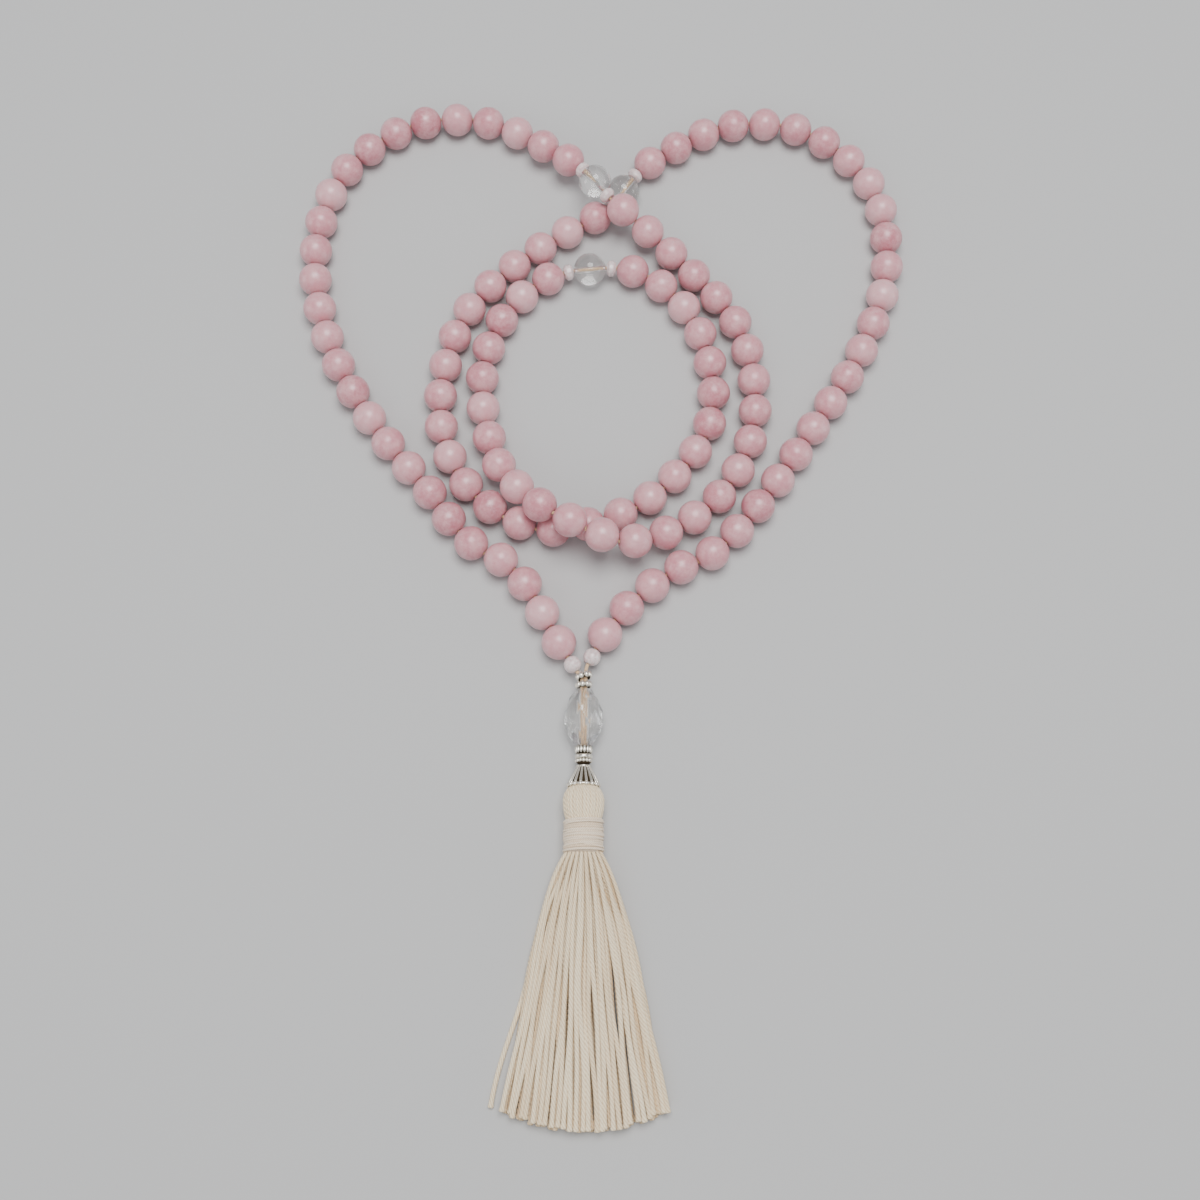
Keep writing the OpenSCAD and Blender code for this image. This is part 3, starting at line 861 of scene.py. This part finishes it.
def wrapThread():
    # one fine thread wound down the neck over a packed core, with a few turns that cross it
    look = {"turns": 13, "thread": 0.285 * mm, "coil": 4.09 * mm, "perTurn": 36, "sides": 8,
        "coreIn": 3.2 * mm, "coreOut": 3.8 * mm, "lean": 0.09 * mm, "uneven": 0.05 * mm,
        "crossDrop": 0.5 * mm, "crossRise": 0.5 * mm}
    crossings = [  # start as a share of the neck, turns, rise
        (0.10, 1.3, 1.0), (0.24, 1.1, -1.1), (0.37, 1.6, -0.9), (0.50, 1.2, 1.3), (0.62, 1.2, 1.1),
        (0.72, 1.1, -1.2), (0.82, 1.5, -0.7)]
    length = tassel["wrapTop"] - tassel["wrapEnd"]
    drop = length - 2 * look["thread"]
    shape = bmesh.new()
    core = [(look["coreIn"], 0), (look["coreOut"], 0), (look["coreOut"], length), (look["coreIn"], length)]
    addSpun(shape, core, 40)
    hang(shape, tassel["wrapTop"])
    turnTones = [dice.uniform(0, 1) for _ in range(look["turns"] + 1)]
    points = []
    total = look["turns"] * look["perTurn"]
    for s in range(total + 1):
        a = 2 * math.pi * s / look["perTurn"]
        y = tassel["wrapTop"] - look["thread"] - drop * s / total
        lean = look["lean"] * math.sin(a + 0.6) + look["uneven"] * math.sin(0.31 * a)
        coil = look["coil"] + look["uneven"] * math.sin(a * 0.37 + 1)
        points.append(roundPoint(a, coil, y + lean))
    sweep(shape, points, [look["thread"]] * len(points), look["sides"],
        lambda t: turnTones[int(t * look["turns"])])
    for start, turns, rise in crossings:
        steps = int(turns * look["perTurn"])
        points = []
        for s in range(steps + 1):
            t = s / steps
            a = 2 * math.pi * (s / look["perTurn"] + start * 3)
            y = (tassel["wrapTop"] - length * start - look["crossDrop"] * turns * t
                + look["crossRise"] * rise * math.sin(math.pi * t))
            lift = look["thread"] * 0.8 * ease(5 * t) * ease(5 * (1 - t))
            points.append(roundPoint(a, look["coil"] + lift, y))
        sweep(shape, points, [look["thread"] * 0.9] * len(points), look["sides"], 0.1)
    return shape


finishShape(wrapThread(), "neck_wrapping", tanPly, "tassel", ["neck_wrap"])

skirt = {
    "neck": 3.55 * mm, "flare": 3.4 * mm, "flareEnd": 0.11, "halfWidth": 18.75 * mm, "above": 1.2 * mm,
    "thread": 0.53 * mm, "squeezed": 0.40 * mm, "arc": 4.2 * mm, "uneven": 0.9,
    "pileTop": 5.4 * mm, "pileEnd": 3.2 * mm, "drift": 0.4 * mm,
    "swing": (0.2 * mm, 0.55 * mm), "bob": 0.2 * mm, "dives": [(0, 1), (1.1 * mm, 0.36), (1.9 * mm, 0.8)],
    "tipPlaces": (0.5 * mm, 0.15 * mm, 0), "tipSizes": (1.05, 1.2, 1.16, 0.75),
    # underShade and strayShade are painted shade, added to the tone of the under layers' threads and of
    # the stray one
    "spread": 0.985, "jitter": 0.14, "layerJitter": 0.08, "underShade": 0.7,
    "strayShade": 0.2, "stray": 1.3 * mm, "blendStart": 0.5 * mm, "blendEnd": 8 * mm,
    "layers": [  # name, height in the pile, threads, sides, steps
        ("top", 1.0, 28, 10, 72), ("upper", 0.62, 29, 7, 50),
        ("lower", 0.40, 24, 6, 44), ("bottom", 0.0, 25, 6, 44)],
}


def skirtHalf(t):
    # half width of the skirt at a share t of its length
    flare = skirt["flare"] * (1 - math.exp(-t / skirt["flareEnd"]))
    return skirt["neck"] + flare + (skirt["halfWidth"] - skirt["neck"] - skirt["flare"]) * t


def skirtPoint(across, layer, t, length, dive):
    # threads leave a round neck, some from under others, and settle into a flat pile
    side = math.sqrt(max(0.0, 1 - across * across))
    depth, gone = dive
    sunk = depth * (1 - ease(t / gone))
    narrowed = (skirt["neck"] - sunk) / skirt["neck"]
    neckZ = pendant["z"] + (2 * layer - 1) * skirt["neck"] * side * 0.9 * narrowed
    pile = mix(skirt["pileTop"], skirt["pileEnd"], ease(t)) * (0.45 + 0.55 * side)
    flatZ = max(skirt["thread"], skirt["thread"] + layer * pile - sunk * side)
    x = (pendant["x"] + skirt["drift"] * ease(t)
        + across * (skirtHalf(t) - skirt["thread"]) * mix(narrowed, 1, ease(3 * t)))
    y = tassel["wrapEnd"] + skirt["above"] - length * t
    return Vector((x, y, mix(neckZ, flatZ, ease(t * 3.2))))


def skirtThread(shape, across, layer, steps, sides, dive, shade, stray=0.0):
    # one thread, with its own slow waver and a full, cut tip; a stray one drifts out sideways; shade is
    # painted shade added to its tone
    length = (tassel["wrapEnd"] + skirt["above"] - tassel["skirtEnd"] - skirt["arc"] * across * across
        - dice.uniform(0, skirt["uneven"]) * mm)
    phase = [dice.uniform(0, 2 * math.pi) for _ in range(3)]
    swing = dice.uniform(*skirt["swing"])
    shares = [s / steps for s in range(steps)] + [1 - back / length for back in skirt["tipPlaces"]]
    points = []
    radii = []
    for t in shares:
        p = skirtPoint(across, layer, t, length, dive)
        free = ease(t * 1.6)
        p.x += swing * free * (math.sin(5 * t + phase[0]) + 0.5 * math.sin(11 * t + phase[1]))
        p.x -= stray * ease((t - 0.5) / 0.5)
        p.z = max(skirt["thread"], p.z + skirt["bob"] * free * math.sin(7 * t + phase[2]))
        points.append(p)
        radii.append(mix(skirt["squeezed"], skirt["thread"], ease(t * 1.8)))
    radii[-4:] = [skirt["thread"] * full for full in skirt["tipSizes"]]
    sweep(shape, points, radii, sides, shade + 0.7 * dice.random(), dice.uniform(0, mm))


for name, height, count, sides, steps in skirt["layers"]:
    shape = bmesh.new()
    onTop = height == 1
    for k in range(count):
        place = k + 0.5 + dice.uniform(-skirt["jitter"], skirt["jitter"])
        across = 2 * skirt["spread"] * place / count - skirt["spread"]
        layer = height + dice.uniform(-skirt["layerJitter"], skirt["layerJitter"]) * (0 < height < 1)
        dive = skirt["dives"][k % 3] if onTop else skirt["dives"][0]
        skirtThread(shape, across, layer, steps, sides, dive, 0 if onTop else skirt["underShade"])
    if name == "bottom":
        skirtThread(shape, -1.0, 0.0, 72, 10, skirt["dives"][0], skirt["strayShade"], skirt["stray"])
    piece = finishShape(shape, "skirt_threads_" + name, cottonPly, None, ["tassel_skirt"])
    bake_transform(piece)
print("tassel made")
